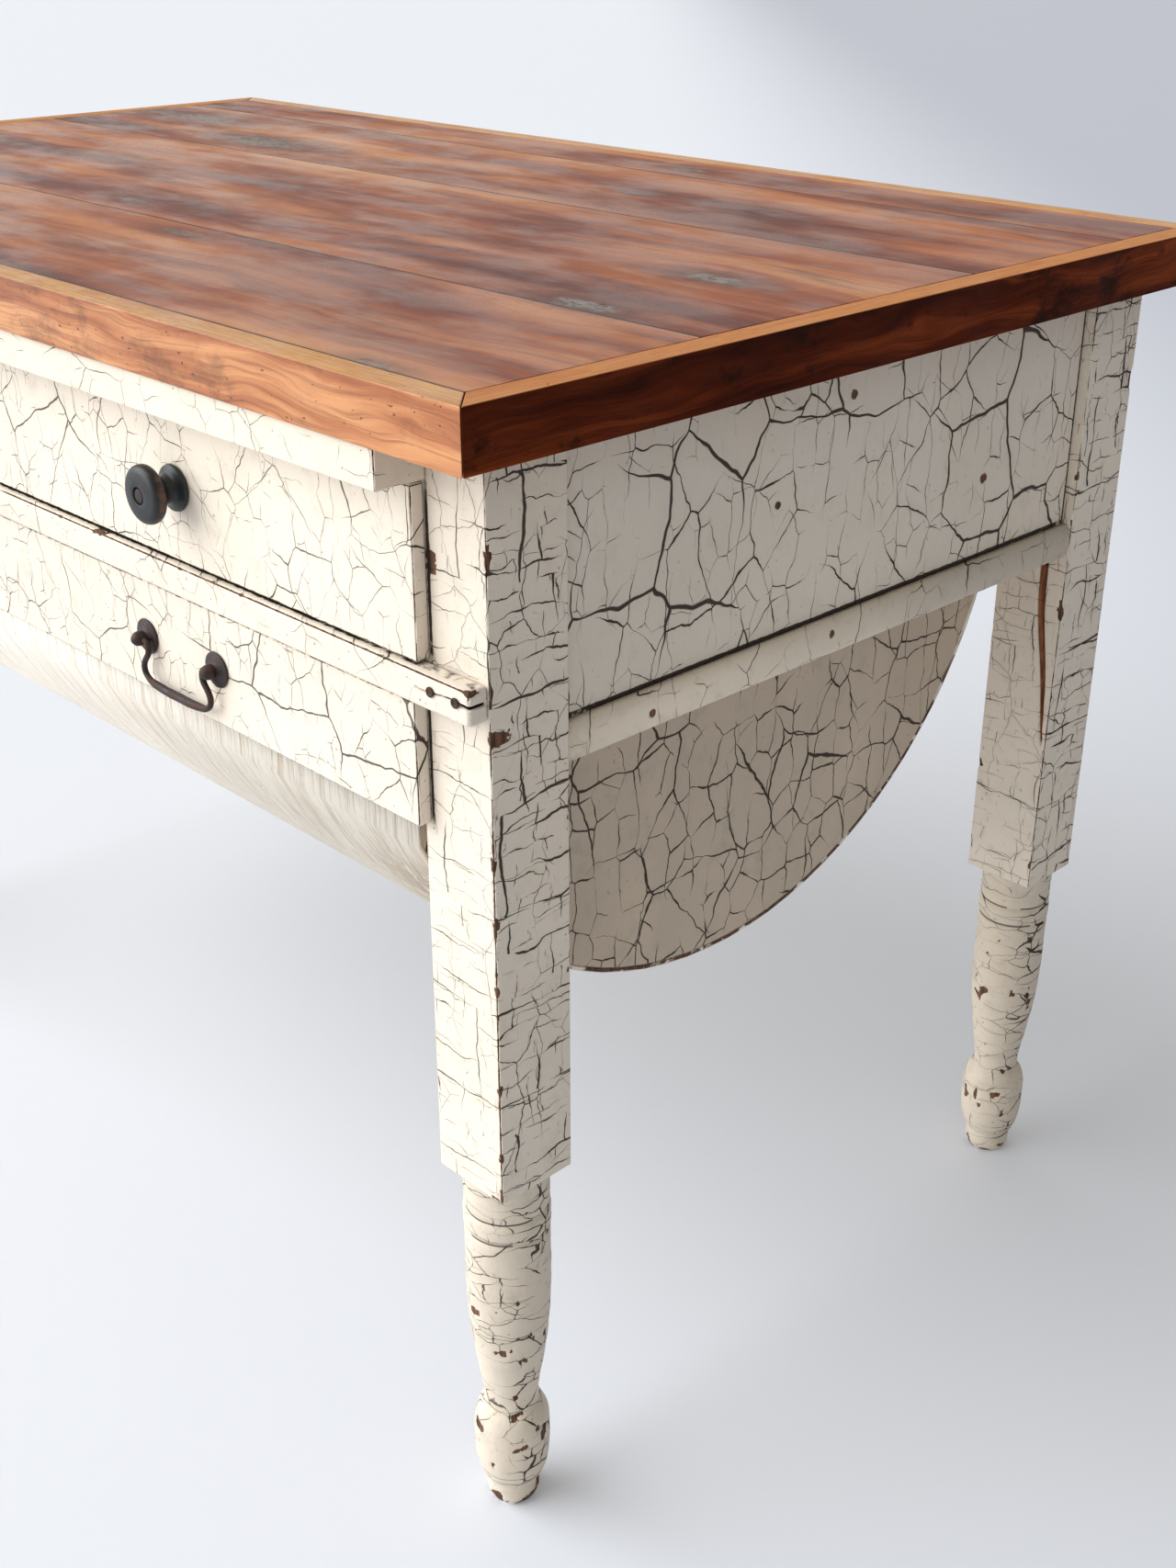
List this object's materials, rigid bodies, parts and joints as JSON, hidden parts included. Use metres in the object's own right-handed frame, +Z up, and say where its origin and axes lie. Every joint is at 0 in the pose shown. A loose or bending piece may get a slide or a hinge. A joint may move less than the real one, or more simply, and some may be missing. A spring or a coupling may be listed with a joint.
{
  "type": "baker's table",
  "caption": "Kitchen work table with a banded plank top, part-turned legs, a wide drawer and a rounded pull-out flour bin beneath it.",
  "frame": {"origin": "on the floor, under the middle of the top", "axes": "+X along the length of the top, to the right of somebody facing the front; +Y from the drawer front towards the back; +Z up"},
  "size_m": [1.13, 0.676, 0.762],
  "materials": {
    "crackled_paint": "old cream paint, crackled and chipped to brown wood",
    "bin_end_paint": "dirtier cream paint, finely crackled",
    "belly_paint": "brushed cream paint with brown streaks on thin bent board",
    "top_wood": "red-brown varnished softwood, satin",
    "band_wood": "orange-brown varnished softwood, satin",
    "bare_wood": "unpainted softwood, matt",
    "knob_black": "turned knob, black satin, brown where worn",
    "rusty_iron": "dark brown rusted iron"
  },
  "bodies": {
    "table": {"top_plank_1": "top_wood", "top_plank_2": "top_wood", "top_plank_3": "top_wood", "top_plank_4": "top_wood", "top_band_front": "band_wood", "top_band_back": "band_wood", "top_band_left": "band_wood", "top_band_right": "band_wood", "top_batten_left": "bare_wood", "top_batten_right": "bare_wood", "drawer_runner_left": "bare_wood", "drawer_runner_right": "bare_wood", "drawer_kicker_left": "bare_wood", "drawer_kicker_right": "bare_wood", "bin_runner_left": "bare_wood", "bin_runner_right": "bare_wood", "leg_front_left": "crackled_paint", "leg_front_right": "crackled_paint", "leg_rear_left": "crackled_paint", "leg_rear_right": "crackled_paint", "apron_left": "crackled_paint", "apron_right": "crackled_paint", "apron_back": "crackled_paint", "apron_bead_left": "crackled_paint", "apron_bead_right": "crackled_paint", "apron_bead_back": "crackled_paint", "front_top_rail": "crackled_paint", "front_middle_rail": "crackled_paint", "rail_nail_left_1": "rusty_iron", "rail_nail_left_2": "rusty_iron", "rail_nail_right_1": "rusty_iron", "rail_nail_right_2": "rusty_iron"},
    "drawer": {"drawer_front": "crackled_paint", "drawer_side_left": "bare_wood", "drawer_side_right": "bare_wood", "drawer_back": "bare_wood", "drawer_bottom": "bare_wood", "drawer_knob_left": "knob_black", "drawer_knob_right": "knob_black", "drawer_knob_screw_left": "rusty_iron", "drawer_knob_screw_right": "rusty_iron"},
    "bin": {"bin_front": "crackled_paint", "bin_belly": "belly_paint", "bin_end_left": "bin_end_paint", "bin_end_right": "bin_end_paint", "bin_back_rail": "bare_wood", "bin_cleat_left": "bare_wood", "bin_cleat_right": "bare_wood", "bail_post_left_1": "rusty_iron", "bail_post_left_2": "rusty_iron", "bail_post_right_1": "rusty_iron", "bail_post_right_2": "rusty_iron"},
    "bail_left": {"bail_left": "rusty_iron"},
    "bail_right": {"bail_right": "rusty_iron"}
  },
  "joints": [
    {"name": "drawer_slide", "type": "slide", "parent": "table", "child": "drawer", "axis": [0, -1, 0], "range_m": [0, 0.42]},
    {"name": "bin_slide", "type": "slide", "parent": "table", "child": "bin", "axis": [0, -1, 0], "range_m": [0, 0.4]},
    {"name": "bail_left_swing", "type": "hinge", "parent": "bin", "child": "bail_left", "pos_m": [-0.26, -0.3178, 0.5455], "axis": [-1, 0, 0], "range_deg": [0, 100]},
    {"name": "bail_right_swing", "type": "hinge", "parent": "bin", "child": "bail_right", "pos_m": [0.26, -0.3178, 0.5455], "axis": [-1, 0, 0], "range_deg": [0, 100]}
  ]
}
